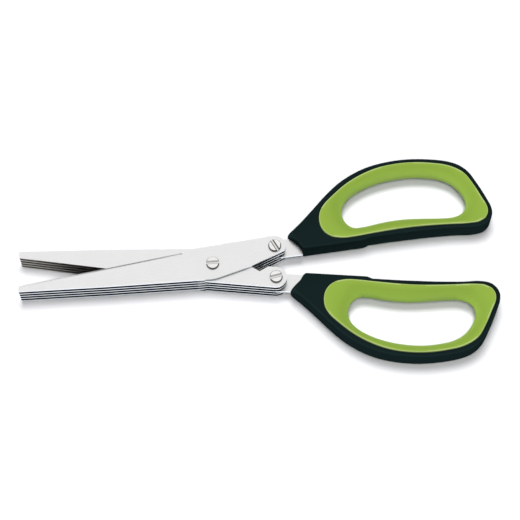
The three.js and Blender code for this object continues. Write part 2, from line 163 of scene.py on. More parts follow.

# The top blade's ground bevel: its colour near another blade, a painted shade, and where it is open, a
# painted highlight paler than the steel, how far it feels the other blade and from which openness on, and the
# span at the heel over which it counts as open
TOP_GROUND_SHADE = (0.10, 0.10, 0.10)
OPEN_GROUND_HIGHLIGHT = (0.98, 0.98, 0.98)
GAP_REACH = 6.0 * MM
GAP_SAMPLES = 16
GAP_OPEN = (0.90, 0.98)
HEEL_SPAN = (-12.6 * MM, -12.0 * MM)

# Shell colours: the two that its faces vary between, and that of its sides, paler as painted light
SHELL_COLOURS = ((0.0042, 0.0088, 0.0088), (0.0050, 0.0100, 0.0104))
SHELL_STEEP = (0.0100, 0.0208, 0.0212)

# Grip colours: the grip and its lip, each flat and sloping, the sloping ones paler as painted light and the
# lip's paler and greyer as a painted highlight, how much they vary, and the rubber's mirroring
GRIP_FLAT = (0.160, 0.244, 0.032)
GRIP_STEEP = (0.272, 0.415, 0.060)
LIP_HIGHLIGHT_FLAT = (0.243, 0.313, 0.103)
LIP_HIGHLIGHT_STEEP = (0.324, 0.421, 0.135)
GRIP_VARIATION = 0.03
GRIP_SPECULAR = 0.25

# Where a face slopes: the height of its unit normal where the slope starts to show and where it shows fully
EDGE_SLOPE = (0.85, 0.3)
GROUND_SLOPE = (0.95, 0.85)
SHELL_SLOPE = (1.0, 0.4)
GRIP_SLOPE = (0.9, 0.3)

# Grains per metre along X, Y and Z, so that the steel's lines run along X, the range of a noise that is
# spread, the roughness that the grain gives, and its relief: height and strength
STEEL_LINES = (60, 5200, 5200)
STEEL_PATCHES = (90, 90, 90)
SCREW_GRAIN = (3000, 3000, 3000)
SHELL_GRAIN = (4200, 4200, 4200)
SHELL_PATCHES = (45, 45, 45)
GRIP_GRAIN = (2600, 2600, 2600)
GRIP_PATCHES = (60, 60, 60)
NOISE_RANGE = (0.3, 0.7)
STEEL_ROUGHNESS = (0.24, 0.34)
SCREW_ROUGHNESS = (0.18, 0.28)
SHELL_ROUGHNESS = (0.44, 0.54)
GRIP_ROUGHNESS = (0.56, 0.68)
STEEL_RELIEF = (0.004 * MM, 0.5)
SCREW_RELIEF = (0.003 * MM, 0.5)
SHELL_RELIEF = (0.02 * MM, 0.5)
GRIP_RELIEF = (0.02 * MM, 0.4)

# Screws: their sides, the shank as a share of the head, the rounded edge of the head, and the slot: its
# width, its depth, the shallow step along it, which is half as deep as wide, and its turn in degrees
SCREW_SIDES = 72
SHANK_SHARE = 0.5
HEAD_ROUND = 0.5 * MM
HEAD_STEPS = 10
SLOT_WIDTH = 0.9 * MM
SLOT_DEPTH = 0.6 * MM
SLOT_EDGE = 0.32 * MM
SLOT_ANGLE = {"pivot_screw": 2.0, "rear_screw_a": -61.0, "rear_screw_b": 12.5}

# A face of a head belongs to its side, which is painted dark as shade round the head, where its unit normal
# is lower than this, less a drop that is greatest due south or due north
SIDE_SLOPE = 0.985
SIDE_SLOPE_DROPS = {"south": 0.115, "north": 0.45}

# How bright the parts of the screws and the walls of each slot are, and the tints that they vary between. The
# side, the slot floors and the slot walls are darker than the head as painted shade, deepest in rear screw
# A's slot
HEAD_LOOKS = {"head": 0.84, "side": 0.06, "slot": 0.70}
SLOT_WALL_SHADING = {"pivot_screw": 0.50, "rear_screw_a": 0.04, "rear_screw_b": 0.42}
SCREW_TINTS = ((0.95, 0.93, 0.91), (1.05, 1.04, 1.03))

# The parts of a screw, as its faces number its materials
HEAD, SIDE, SLOT_FLOOR, SLOT_WALL = range(4)


def link(name, data):
    """A new object of a mesh, a lamp or a camera, in the scene."""
    piece = bpy.data.objects.new(name, data)
    bpy.context.scene.collection.objects.link(piece)
    return piece


def mesh_of(name, points, faces):
    """A mesh of points and faces with its face directions made consistent."""
    mesh = bpy.data.meshes.new(name)
    mesh.from_pydata([tuple(point) for point in points], [], faces)
    mesh.update()
    work = bmesh.new()
    work.from_mesh(mesh)
    bmesh.ops.remove_doubles(work, verts=work.verts, dist=WELD)
    bmesh.ops.recalc_face_normals(work, faces=work.faces)
    work.to_mesh(mesh)
    work.free()
    return mesh


def shade_smooth(piece, angle):
    """Smooth shading that keeps the edges sharper than an angle."""
    for face in piece.data.polygons:
        face.use_smooth = True
    work = bmesh.new()
    work.from_mesh(piece.data)
    for edge in work.edges:
        sharp = len(edge.link_faces) == 2 and edge.calc_face_angle(0) > math.radians(angle)
        edge.smooth = not sharp
    work.to_mesh(piece.data)
    work.free()


# Outlines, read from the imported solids

def section_loops(node, level):
    """The closed outlines of a CAD node where a level plane cuts it, the longest first."""
    work = bmesh.new()
    work.from_mesh(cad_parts[node].data)
    bmesh.ops.remove_doubles(work, verts=work.verts, dist=WELD)
    bmesh.ops.bisect_plane(
        work, geom=[*work.verts, *work.edges, *work.faces], plane_co=(0, 0, level),
        plane_no=(0, 0, 1), clear_inner=True, clear_outer=True)
    # A dictionary keeps the edges in order, so that each run starts its loops at the same places
    left = dict.fromkeys(work.edges)
    loops = []
    while left:
        edge, _ = left.popitem()
        start, current = edge.verts
        loop = [start.co.xy.copy()]
        while current is not start:
            loop.append(current.co.xy.copy())
            edge = next(e for e in current.link_edges if e in left)
            del left[edge]
            current = edge.other_vert(current)
        loops.append(counter_clockwise(without_straight_points(loop)))
    work.free()
    return sorted(loops, key=loop_length, reverse=True)


def loop_length(loop):
    return sum((loop[i] - loop[i - 1]).length for i in range(len(loop)))


def loop_area(loop):
    """The area inside a loop, below zero where it runs clockwise."""
    return sum(loop[i - 1].cross(loop[i]) for i in range(len(loop))) / 2


def counter_clockwise(loop):
    return loop if loop_area(loop) > 0 else loop[::-1]


def turn_at(loop, i):
    """How much a loop turns at a point, in degrees."""
    before = loop[i] - loop[i - 1]
    after = loop[(i + 1) % len(loop)] - loop[i]
    return math.degrees(abs(before.angle_signed(after)))


def without_straight_points(loop):
    """The loop without its double points and the points where it runs straight on."""
    apart = [point for i, point in enumerate(loop) if (point - loop[i - 1]).length > SAME_PLACE]
    return [point for i, point in enumerate(apart) if turn_at(apart, i) > STRAIGHT_ANGLE]


def smooth_loop(loop):
    """The loop as a dense, smooth curve, cornered where it turns sharply."""
    count = len(loop)
    sharp = [turn_at(loop, i) > CORNER_ANGLE for i in range(count)]
    dense = []
    for i in range(count):
        p0, p1, p2, p3 = (loop[(i + k) % count] for k in (-1, 0, 1, 2))
        if sharp[i]:
            p0 = p1 + (p1 - p2)
        if sharp[(i + 1) % count]:
            p3 = p2 + (p2 - p1)
        steps = max(1, round((p2 - p1).length / OUTLINE_STEP))
        for step in range(steps):
            dense.append(curve_point(p0, p1, p2, p3, step / steps))
    for _ in range(SMOOTH_PASSES):
        dense = [(dense[i - 1] + 2 * dense[i] + dense[(i + 1) % len(dense)]) / 4
                 for i in range(len(dense))]
    return dense


def curve_point(p0, p1, p2, p3, share):
    """A point between p1 and p2 on the centripetal curve through four points."""
    knots = [0.0]
    for start, end in ((p0, p1), (p1, p2), (p2, p3)):
        knots.append(knots[-1] + max((end - start).length, WELD) ** 0.5)
    t0, t1, t2, t3 = knots
    t = t1 + share * (t2 - t1)
    a1 = p0 * ((t1 - t) / (t1 - t0)) + p1 * ((t - t0) / (t1 - t0))
    a2 = p1 * ((t2 - t) / (t2 - t1)) + p2 * ((t - t1) / (t2 - t1))
    a3 = p2 * ((t3 - t) / (t3 - t2)) + p3 * ((t - t2) / (t3 - t2))
    b1 = a1 * ((t2 - t) / (t2 - t0)) + a2 * ((t - t0) / (t2 - t0))
    b2 = a2 * ((t3 - t) / (t3 - t1)) + a3 * ((t - t1) / (t3 - t1))
    return b1 * ((t2 - t) / (t2 - t1)) + b2 * ((t - t1) / (t2 - t1))


def offset_loop(loop, distance):
    """Each point of a counter-clockwise loop moved inwards, square to the loop."""
    moved = []
    for i, point in enumerate(loop):
        along = (loop[(i + 1) % len(loop)] - loop[i - 1]).normalized()
        moved.append(point + Vector((-along.y, along.x)) * distance)
    return moved


class NearLoop:
    """Distance from a point to a loop, found with a grid of its segments."""

    def __init__(self, loop, reach):
        self.reach = reach
        self.cells = {}
        for i, end in enumerate(loop):
            start = loop[i - 1]
            for cell in self.cells_round((start + end) / 2):
                self.cells.setdefault(cell, []).append((start, end))

    def cell_of(self, point):
        return (math.floor(point.x / self.reach), math.floor(point.y / self.reach))

    def cells_round(self, point):
        column, row = self.cell_of(point)
        return [(column + i, row + j) for i in (-1, 0, 1) for j in (-1, 0, 1)]

    def distance(self, point):
        """The distance, or the grid's reach where the loop is further than that."""
        nearest = self.reach
        for start, end in self.cells.get(self.cell_of(point), ()):
            along = end - start
            share = min(1.0, max(0.0, (point - start).dot(along) / along.length_squared))
            nearest = min(nearest, (point - start - along * share).length)
        return nearest


def rounding(distance, radius):
    """How far a rounded edge lies below its face, at a distance in from the edge."""
    if distance >= radius:
        return 0.0
    return radius - math.sqrt(radius * radius - (radius - distance) ** 2)


def inside(point, loop):
    """Whether a point is inside a loop, by counting the sides that a ray crosses."""
    crossings = 0
    for i, end in enumerate(loop):
        start = loop[i - 1]
        if (start.y > point.y) != (end.y > point.y):
            share = (point.y - start.y) / (end.y - start.y)
            crossings += point.x < start.x + share * (end.x - start.x)
    return crossings % 2 == 1


def closed_edges(first, count):
    """The sides of a loop of points that are numbered from first on."""
    return [(first + i, first + (i + 1) % count) for i in range(count)]


def strip(rows):
    """Faces between rows of points that all go round a loop, each row an index list."""
    faces = []
    for lower, upper in zip(rows, rows[1:]):
        for i, j in closed_edges(0, len(lower)):
            faces.append((lower[i], lower[j], upper[j], upper[i]))
    return faces


class Builder:
    """Collects points and faces of one mesh."""

    def __init__(self):
        self.points = []
        self.faces = []

    def ring(self, loop, level):
        """Adds a loop at a level, and returns the numbers of its points."""
        first = len(self.points)
        self.points += [(p.x, p.y, level) for p in loop]
        return list(range(first, first + len(loop)))

    def surface(self, flat, faces, levels):
        """Adds a flat surface whose points are each raised to a level."""
        first = len(self.points)
        self.points += [(p.x, p.y, z) for p, z in zip(flat, levels)]
        self.faces += [tuple(first + i for i in face) for face in faces]


# The handle's black shell

def shell_levels(half):
    """The lowest, the middle and the highest level of a shell."""
    low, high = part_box(f"handle_shell_{half}")
    return low.z, (low.z + high.z) / 2, high.z


def grip_loops(half):
    """The shell's outline, the border of its pocket and the finger hole, as smooth loops."""
    _, middle, high = shell_levels(half)
    pocket_level = (middle + WEB_HALF + high - SHELL_ROUND) / 2
    outline, border = section_loops(f"handle_shell_{half}", pocket_level)
    hole = section_loops(f"grip_insert_{half}", middle + SAME_PLACE)[-1]
    return smooth_loop(outline), smooth_loop(border), smooth_loop(hole)


def cap_surface(outline, border):
    """Flat points and faces of the shell's face round its pocket, and how far each point drops."""
    near_outline = NearLoop(outline, 2 * SHELL_ROUND)
    near_border = NearLoop(border, 2 * SHELL_ROUND)
    points = [*outline, *border]
    edges = closed_edges(0, len(outline)) + closed_edges(len(outline), len(border))
    rows = [
        (outline, near_outline, near_border, SHELL_ROUND, 1),
        (border, near_border, near_outline, POCKET_ROUND, -1),
    ]
    for loop, own, other, radius, direction in rows:
        for step in range(1, ROUND_STEPS + 1):
            inset = radius * (1 - math.cos(math.pi / 2 * step / ROUND_STEPS))
            for point in offset_loop(loop, inset * direction):
                clear = own.distance(point) > inset * ROW_CLEARANCE
                if clear and other.distance(point) > POCKET_ROUND:
                    points.append(point)
    found, _, faces, _, _, _ = delaunay_2d_cdt(points, edges, [], WHOLE_HULL, TRIANGLE_WELD)
    kept = []
    for face in faces:
        middle = sum((found[i] for i in face), Vector((0, 0))) / len(face)
        if inside(middle, outline) and not inside(middle, border):
            kept.append(face)
    drops = [
        rounding(near_outline.distance(p), SHELL_ROUND) + rounding(near_border.distance(p), POCKET_ROUND)
        for p in found
    ]
    return found, kept, drops


def round_nose(build, half, outline, middle):
    """Lowers the shell towards its middle height at the nose, so that the nose is round in height too."""
    turn = math.radians(HALF_TURN[half])
    along = Vector((math.cos(turn), math.sin(turn)))
    tip = min(point.dot(along) for point in outline)
    for i, (x, y, z) in enumerate(build.points):
        reach = min(1.0, (Vector((x, y)).dot(along) - tip) / NOSE_ROUND)
        share = max(NOSE_LEAST, math.sqrt(1 - (1 - reach) ** 2))
        build.points[i] = (x, y, middle + (z - middle) * share)


def make_shell(half, outline, border):
    """The shell: two rounded faces, the wall round them, and the pocket with the web in it."""
    low, middle, high = shell_levels(half)
    flat, faces, drops = cap_surface(outline, border)
    build = Builder()
    build.surface(flat, faces, [high - drop for drop in drops])
    build.surface(flat, faces, [low + drop for drop in drops])
    wall = [build.ring(outline, z) for z in (low + SHELL_ROUND, middle, high - SHELL_ROUND)]
    web = offset_loop(border, WEB_WIDTH)
    pocket = [
        build.ring(border, high - POCKET_ROUND), build.ring(border, middle + WEB_HALF),
        build.ring(web, middle + WEB_HALF), build.ring(web, middle - WEB_HALF),
        build.ring(border, middle - WEB_HALF), build.ring(border, low + POCKET_ROUND),
    ]
    build.faces += strip(wall) + strip(pocket)
    round_nose(build, half, outline, middle)
    shell = link(f"shell_{half}", mesh_of(f"shell_{half}", build.points, build.faces))
    shade_smooth(shell, HANDLE_SHARP)
    return shell


# The soft grip insert

def meet(loop, centre, ray):
    """Where a ray from a centre meets a loop."""
    for i, end in enumerate(loop):
        start = loop[i - 1]
        side_a = ray.cross(start - centre)
        side_b = ray.cross(end - centre)
        if side_a <= 0 < side_b:
            point = start + (end - start) * (side_a / (side_a - side_b))
            if (point - centre).dot(ray) > 0:
                return point
    raise ValueError("a ray missed its loop")


def ray_pairs(border, hole):
    """Where rays from the finger hole's middle meet the pocket's border and the hole."""
    least = Vector((min(p.x for p in hole), min(p.y for p in hole)))
    most = Vector((max(p.x for p in hole), max(p.y for p in hole)))
    centre = (least + most) / 2
    pairs = []
    for i in range(GRIP_RAYS):
        turn = 2 * math.pi * i / GRIP_RAYS
        ray = Vector(((most.x - least.x) * math.cos(turn), (most.y - least.y) * math.sin(turn)))
        pairs.append((meet(border, centre, ray), meet(hole, centre, ray)))
    return pairs


def insert_section():
    """Rows of the insert's upper half, each an inset, a share of the width that is left, and a drop."""
    rows = []
    for step in range(LIP_STEPS):
        turn = math.pi / 2 * step / LIP_STEPS
        rows.append((SEAT_GAP + LIP_ROUND * (1 - math.cos(turn)), 0.0, LIP_ROUND * (1 - math.sin(turn))))
    for step in range(GRIP_ROWS + 1):
        rows.append((SEAT_GAP + LIP_ROUND, math.sin(math.pi / 2 * step / GRIP_ROWS), 0.0))
    return rows


def make_insert(half, border, hole):
    """The grip: a crowned ring from the pocket's border to the finger hole, grooved round the web."""
    _, middle, high = shell_levels(half)
    half_height = high - middle
    pairs = ray_pairs(border, hole)
    build = Builder()

    def ring(inset, share, drop, side):
        first = len(build.points)
        for outer, inner in pairs:
            width = (inner - outer).length
            way = inset + share * (width - inset)
            point = outer + (inner - outer) * (way / width)
            height = half_height * max(0.0, 1 - (way / width) ** 2) ** CROWN_EXPONENT - drop
            build.points.append((point.x, point.y, middle - HOLE_DROP * share + side * height))
        return list(range(first, first + GRIP_RAYS))

    def groove_ring(inset, level):
        return build.ring([outer + (inner - outer).normalized() * inset for outer, inner in pairs], level)

    upper = insert_section()
    rows = [ring(*row, 1) for row in upper]
    rows += [ring(*row, -1) for row in upper[-2::-1]]
    rows.append(groove_ring(SEAT_GAP, middle - WEB_HALF))
    rows.append(groove_ring(SEAT_GAP + WEB_WIDTH, middle - WEB_HALF))
    rows.append(groove_ring(SEAT_GAP + WEB_WIDTH, middle + WEB_HALF))
    rows.append(groove_ring(SEAT_GAP, middle + WEB_HALF))
    build.faces += strip([*rows, rows[0]])
    insert = link(f"insert_{half}", mesh_of(f"insert_{half}", build.points, build.faces))
    shade_smooth(insert, HANDLE_SHARP)
    # Faces of the lip near the border take the paler lip material: a painted highlight
    near_border = NearLoop(border, 2 * LIP_HIGHLIGHT_WIDTH)
    for face in insert.data.polygons:
        on_lip = abs(face.center.z - middle) > WEB_HALF + LIP_ROUND
        if on_lip and near_border.distance(face.center.xy) < LIP_HIGHLIGHT_WIDTH:
            face.material_index = LIP
    return insert


# Slotted screws

def circle(centre, radius):
    """The points of a circle round a screw's axis."""
    turns = [2 * math.pi * i / SCREW_SIDES for i in range(SCREW_SIDES)]
    return [centre + Vector((math.cos(turn), math.sin(turn))) * radius for turn in turns]


def make_screw(node):
    """A turned cheese head with a rounded edge, a sawn slot and its shank."""
    low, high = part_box(node)
    centre = (low + high) / 2
    radius = (high.x - low.x) / 2
    blade_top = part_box("blade_a_1")[1].z if node != "rear_screw_b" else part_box("blade_b_1")[1].z
    shank = radius * SHANK_SHARE
    profile = [(shank, low.z), (shank, blade_top), (radius, blade_top)]
    for step in range(HEAD_STEPS + 1):
        turn = math.pi / 2 * step / HEAD_STEPS
        inset = HEAD_ROUND * (1 - math.cos(turn))
        drop = HEAD_ROUND * (1 - math.sin(turn))
        profile.append((radius - inset, high.z - drop))
    build = Builder()
    rings = [axis_point(build, centre, low.z)]
    rings += [build.ring(circle(centre.xy, distance), level) for distance, level in profile]
    rings.append(axis_point(build, centre, high.z))
    build.faces += [tuple(dict.fromkeys(face)) for face in strip(rings)]
    screw = link(f"{node}_turned", mesh_of(node, build.points, build.faces))
    for _ in (HEAD, SIDE, SLOT_FLOOR, SLOT_WALL):
        screw.data.materials.append(None)
    place = Matrix.Translation((centre.x, centre.y, high.z)) @ Matrix.Rotation(
        math.radians(SLOT_ANGLE[node]), 4, "Z")
    for width, depth in ((SLOT_WIDTH + 2 * SLOT_EDGE, SLOT_EDGE / 2), (SLOT_WIDTH, SLOT_DEPTH)):
        cut_box(screw, place, (2 * radius, width / 2, depth))
    for face in screw.data.polygons:
        face.material_index = screw_part(face, centre.xy, high.z, shank)
    shade_smooth(screw, SCREW_SHARP)
    return screw


def axis_point(build, centre, level):
    """Adds a point on a screw's axis, and returns a ring that is that one point all round."""
    build.points.append((centre.x, centre.y, level))
    return [len(build.points) - 1] * SCREW_SIDES


def screw_part(face, centre, top, shank):
    """Which part of a screw a face belongs to."""
    in_slot = (face.center.xy - centre).length < shank and face.center.z > top - 2 * SLOT_DEPTH
    if in_slot and face.center.z < top - SLOT_DEPTH + SAME_PLACE:
        return SLOT_FLOOR
    if in_slot and face.center.z < top - SAME_PLACE:
        return SLOT_WALL
    # The side is the band round the head that is painted dark as shade
    aside = face.normal.y
    drop = SIDE_SLOPE_DROPS["north" if aside > 0 else "south"] * abs(aside) / max(face.normal.xy.length, WELD)
    return SIDE if face.normal.z < SIDE_SLOPE - drop else HEAD


def cut_box(piece, place, half_sizes):
    """Cuts a box out of a piece, given where its middle is and half of each of its sizes."""
    saw = bmesh.new()
    bmesh.ops.create_cube(saw, size=2, matrix=place @ Matrix.Diagonal((*half_sizes, 1)))
    mesh = bpy.data.meshes.new("saw")
    saw.to_mesh(mesh)
    saw.free()
    blade = link("saw", mesh)
    cut = piece.modifiers.new("slot", "BOOLEAN")
    cut.operation = "DIFFERENCE"
    cut.solver = "EXACT"
    cut.object = blade
    apply_modifiers(piece)
    bpy.data.objects.remove(blade)


def apply_modifiers(piece):
    """Makes what a piece's modifiers do a part of its mesh."""
    graph = bpy.context.evaluated_depsgraph_get()
    done = bpy.data.meshes.new_from_object(piece.evaluated_get(graph))
    piece.modifiers.clear()
    piece.data = done


# Materials

def new_material(name):
    """A new material, its node tree and its shader."""
    material = bpy.data.materials.new(name)
    material.use_nodes = True
    tree = material.node_tree
    shader = tree.nodes["Principled BSDF"]
    return material, tree, shader


def add_node(tree, kind, **values):
    """A new node, with values for its sockets and settings by name."""
    node = tree.nodes.new(kind)
    for name, value in values.items():
        if name in node.inputs:
            node.inputs[name].default_value = value
        else:
            setattr(node, name, value)
    return node


def separated(tree, vector):
    """The X, Y and Z of a vector."""
    parts = add_node(tree, "ShaderNodeSeparateXYZ")
    tree.links.new(vector, parts.inputs["Vector"])
    return [parts.outputs[axis] for axis in "XYZ"]


def object_place(tree):
    """The place on the object, which is also the place in the frame."""
    return add_node(tree, "ShaderNodeTexCoord").outputs["Object"]


def mapped(tree, scale, turn=0.0):
    """The place on the object, scaled along the axes and then turned back about Z."""
    turned = add_node(tree, "ShaderNodeMapping", Rotation=(0, 0, math.radians(-turn)), Scale=scale)
    tree.links.new(object_place(tree), turned.inputs["Vector"])
    return turned.outputs["Vector"]


def noise(tree, grains, detail, turn=0.0):
    """Noise with a number of grains per metre along each axis."""
    node = add_node(tree, "ShaderNodeTexNoise", Scale=1.0, Detail=detail)
    tree.links.new(mapped(tree, grains, turn), node.inputs["Vector"])
    return node.outputs["Fac"]


def ranged(tree, value, source, target=(0, 1), kind="SMOOTHSTEP"):
    """A value mapped from one range to another."""
    node = add_node(tree, "ShaderNodeMapRange", interpolation_type=kind)
    for name, number in zip(("From Min", "From Max", "To Min", "To Max"), (*source, *target)):
        node.inputs[name].default_value = number
    tree.links.new(value, node.inputs["Value"])
    return node.outputs["Result"]


def spread(tree, value, target=(0, 1)):
    """A noise value spread evenly over a range."""
    return ranged(tree, value, NOISE_RANGE, target, "LINEAR")


def mixed_colour(tree, value, first, second):
    """A mix of two colours, each a socket or a tuple: the first at 0 and the second at 1."""
    node = add_node(tree, "ShaderNodeMix", data_type="RGBA")
    colours = [socket for socket in node.inputs if socket.type == "RGBA"]
    for socket, colour in zip(colours, (first, second)):
        if isinstance(colour, tuple):
            socket.default_value = (*colour, 1)
        else:
            tree.links.new(colour, socket)
    tree.links.new(value, node.inputs["Factor"])
    return next(socket for socket in node.outputs if socket.type == "RGBA")


def maths(tree, operation, first, second=0.0):
    """A sum, product or the like of two values, each a socket or a number."""
    node = add_node(tree, "ShaderNodeMath", operation=operation)
    for socket, value in zip(node.inputs, (first, second)):
        if isinstance(value, (int, float)):
            socket.default_value = value
        else:
            tree.links.new(value, socket)
    return node.outputs["Value"]


def steepness(tree, slope):
    """How steep a face is, from 0 to 1 over a range of its unit normal's height."""
    normal = add_node(tree, "ShaderNodeNewGeometry").outputs["Normal"]
    return ranged(tree, maths(tree, "ABSOLUTE", separated(tree, normal)[2]), slope)


def bump(tree, shader, height, relief):
    distance, strength = relief
    node = add_node(tree, "ShaderNodeBump", Distance=distance, Strength=strength)
    tree.links.new(height, node.inputs["Height"])
    tree.links.new(node.outputs["Normal"], shader.inputs["Normal"])


# Steel of the blades

def blade_place(tree, half):
    """Places along and across a blade, from the pivot's axis."""
    along, across, _ = separated(tree, mapped(tree, (1, 1, 1), HALF_TURN[half]))
    return along, across


def behind_lobe(tree, half):
    """1 where a blade runs on past its rear lobe, as the tang does, and 0 elsewhere."""
    low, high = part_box(f"rear_screw_{half}")
    middle = (low + high) / 2
    turn = math.radians(HALF_TURN[half])
    centre = Matrix.Rotation(-turn, 2) @ middle.xy
    along, across = blade_place(tree, half)
    ahead = maths(tree, "SUBTRACT", along, centre.x)
    aside = maths(tree, "SUBTRACT", across, centre.y)
    squares = maths(tree, "ADD", maths(tree, "MULTIPLY", ahead, ahead), maths(tree, "MULTIPLY", aside, aside))
    outside = maths(tree, "GREATER_THAN", squares, (LOBE_RADIUS - GAP_SHADE_MARGIN) ** 2)
    return maths(tree, "MULTIPLY", outside, maths(tree, "GREATER_THAN", ahead, 0.0))


def painted_gap_shade(tree, half, number):
    """Where shade is painted on a blade's side: 1 on its upper and lower parts that lie against a gap inside
    the stack, and 0 elsewhere.
    """
    low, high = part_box(f"blade_{half}_{number}")
    height = maths(tree, "SUBTRACT", separated(tree, object_place(tree))[2], (low.z + high.z) / 2)
    above = ranged(tree, height, GAP_SHADE_BAND) if number > 1 else 0
    depth = maths(tree, "MULTIPLY", height, -1.0)
    below = ranged(tree, depth, GAP_SHADE_BAND) if number < BLADES_PER_HALF else 0
    painted_shade = maths(tree, "ADD", above, below)
    if number != TANG_BLADE:
        return painted_shade
    return maths(tree, "MULTIPLY", painted_shade, maths(tree, "SUBTRACT", 1, behind_lobe(tree, half)))


def crossed(tree, half, span, shade):
    """How much painted shade a side gets near the crossing, on the part where the other half's blades stand
    out further.
    """
    x, y, _ = separated(tree, object_place(tree))
    ahead = maths(tree, "SUBTRACT", x, CROSSING)
    turned = maths(tree, "MULTIPLY", ahead, y)
    behind = maths(tree, "LESS_THAN" if half == "a" else "GREATER_THAN", turned, 0.0)
    near = ranged(tree, maths(tree, "ABSOLUTE", ahead), span, (shade, 0))
    return maths(tree, "MULTIPLY", behind, near)


def cutting_side(tree, half):
    """1 on the half of a blade's width that carries its cutting edge, and 0 elsewhere."""
    along, across = blade_place(tree, half)
    ahead = maths(tree, "LESS_THAN", along, -EDGE_START)
    aside = maths(tree, "GREATER_THAN" if half == "a" else "LESS_THAN", across, 0.0)
    return maths(tree, "MULTIPLY", ahead, aside)


def gap_shade(tree):
    """How open a face is, from 0 deep in a gap to 1 where nothing is near."""
    return add_node(tree, "ShaderNodeAmbientOcclusion", samples=GAP_SAMPLES, Distance=GAP_REACH).outputs["AO"]


def ground_colour(tree, half, on_top):
    """The colour of a ground bevel, painted light and shade: on the top blade dark near the other blade and
    pale where it is open, on the others darker towards the heel.
    """
    along = blade_place(tree, half)[0]
    if not on_top:
        return mixed_colour(tree, ranged(tree, along, GROUND_SPAN), GROUND_TIP_COLOUR, GROUND_HEEL_SHADE)
    openness = maths(tree, "MAXIMUM", ranged(tree, gap_shade(tree), GAP_OPEN), ranged(tree, along, HEEL_SPAN))
    return mixed_colour(tree, openness, TOP_GROUND_SHADE, OPEN_GROUND_HIGHLIGHT)


def steel_material(half, number):
    """Ground steel with fine lines, edges with a painted reflection, sides with painted shade at the gaps and
    near the crossing, and a rough cutting edge.
    """
    material, tree, shader = new_material(f"blade_steel_{half}_{number}")
    turn = HALF_TURN[half]
    on_top = half == "a" and number == 1
    lines = noise(tree, STEEL_LINES, detail=4, turn=turn)
    patches = noise(tree, STEEL_PATCHES, detail=2, turn=turn)
    # Steep edges take the paler, bluer colour: a painted reflection of the floor
    steep = steepness(tree, EDGE_SLOPE)
    faced = mixed_colour(tree, steep, mixed_colour(tree, spread(tree, patches), *STEEL_COLOURS), EDGE_REFLECTION_COLOUR)
    # Painted shade on the sides: beside the gaps, near the crossing, and on the top blade along where it
    # meets the next one
    span, shade = (TOP_CONTACT_SPAN, TOP_CONTACT_SHADE) if on_top else (CROSSING_SPAN, CROSSING_SHADE)
    recessed = maths(tree, "MULTIPLY", crossed(tree, half, span, shade), steep)
    painted_shade = maths(tree, "MAXIMUM", painted_gap_shade(tree, half, number), recessed)
    mouth = cutting_side(tree, half)
    dark = mixed_colour(tree, mouth, GAP_SHADE_COLOUR, GROUND_GAP_SHADE_COLOUR)
    ground = maths(tree, "MULTIPLY", mouth, steepness(tree, GROUND_SLOPE))
    colour = mixed_colour(
        tree, ground, mixed_colour(tree, painted_shade, faced, dark), ground_colour(tree, half, on_top))
    tree.links.new(colour, shader.inputs["Base Color"])
    coarse = maths(tree, "MULTIPLY", ground, GROUND_ROUGHNESS)
    roughness = maths(tree, "ADD", spread(tree, lines, STEEL_ROUGHNESS), coarse)
    tree.links.new(roughness, shader.inputs["Roughness"])
    shader.inputs["Metallic"].default_value = 1.0
    bump(tree, shader, lines, STEEL_RELIEF)
    return material


# The other materials

def tinted(tint, bright):
    """A colour made brighter or darker."""
    return tuple(value * bright for value in tint)


def screw_material(part, bright):
    """Turned steel, as bright as its part of a screw shows; the darker sides, slots and slot walls are
    painted shade.
    """
    material, tree, shader = new_material(f"screw_{part}")
    grain = noise(tree, SCREW_GRAIN, detail=3)
    colour = mixed_colour(tree, spread(tree, grain), *(tinted(tint, bright) for tint in SCREW_TINTS))
    tree.links.new(colour, shader.inputs["Base Color"])
    tree.links.new(spread(tree, grain, SCREW_ROUGHNESS), shader.inputs["Roughness"])
    shader.inputs["Metallic"].default_value = 1.0
    bump(tree, shader, grain, SCREW_RELIEF)
    return material


def shell_material():
    """Hard black plastic with a fine moulded grain, and painted light that makes its sides paler."""
    material, tree, shader = new_material("shell_plastic")
    grain = noise(tree, SHELL_GRAIN, detail=2)
    colour = mixed_colour(tree, spread(tree, noise(tree, SHELL_PATCHES, detail=2)), *SHELL_COLOURS)
    faced = mixed_colour(tree, steepness(tree, SHELL_SLOPE), colour, SHELL_STEEP)
    tree.links.new(faced, shader.inputs["Base Color"])
    tree.links.new(spread(tree, grain, SHELL_ROUGHNESS), shader.inputs["Roughness"])
    shader.inputs["Specular IOR Level"].default_value = 0.0
    bump(tree, shader, grain, SHELL_RELIEF)
    return material


def grip_material(part, flat, steep):
    """Soft-touch green rubber, with painted light that makes it paler where it slopes."""
    material, tree, shader = new_material(f"grip_{part}")
    grain = noise(tree, GRIP_GRAIN, detail=2)
    low, high = (tinted(flat, 1 + change) for change in (-GRIP_VARIATION, GRIP_VARIATION))
    colour = mixed_colour(tree, spread(tree, noise(tree, GRIP_PATCHES, detail=3)), low, high)
    faced = mixed_colour(tree, steepness(tree, GRIP_SLOPE), colour, steep)
    tree.links.new(faced, shader.inputs["Base Color"])
    tree.links.new(spread(tree, grain, GRIP_ROUGHNESS), shader.inputs["Roughness"])
    shader.inputs["Specular IOR Level"].default_value = GRIP_SPECULAR
    bump(tree, shader, grain, GRIP_RELIEF)
    return material


def dress(piece, material):
    """Gives a piece its only material."""
    piece.data.materials.clear()
    piece.data.materials.append(material)


def dress_parts(piece, materials):
    """Gives a piece its materials in the order that its faces count them."""
    numbers = [face.material_index for face in piece.data.polygons]
    piece.data.materials.clear()
    for material in materials:
        piece.data.materials.append(material)
    piece.data.polygons.foreach_set("material_index", numbers)


# Putting it together

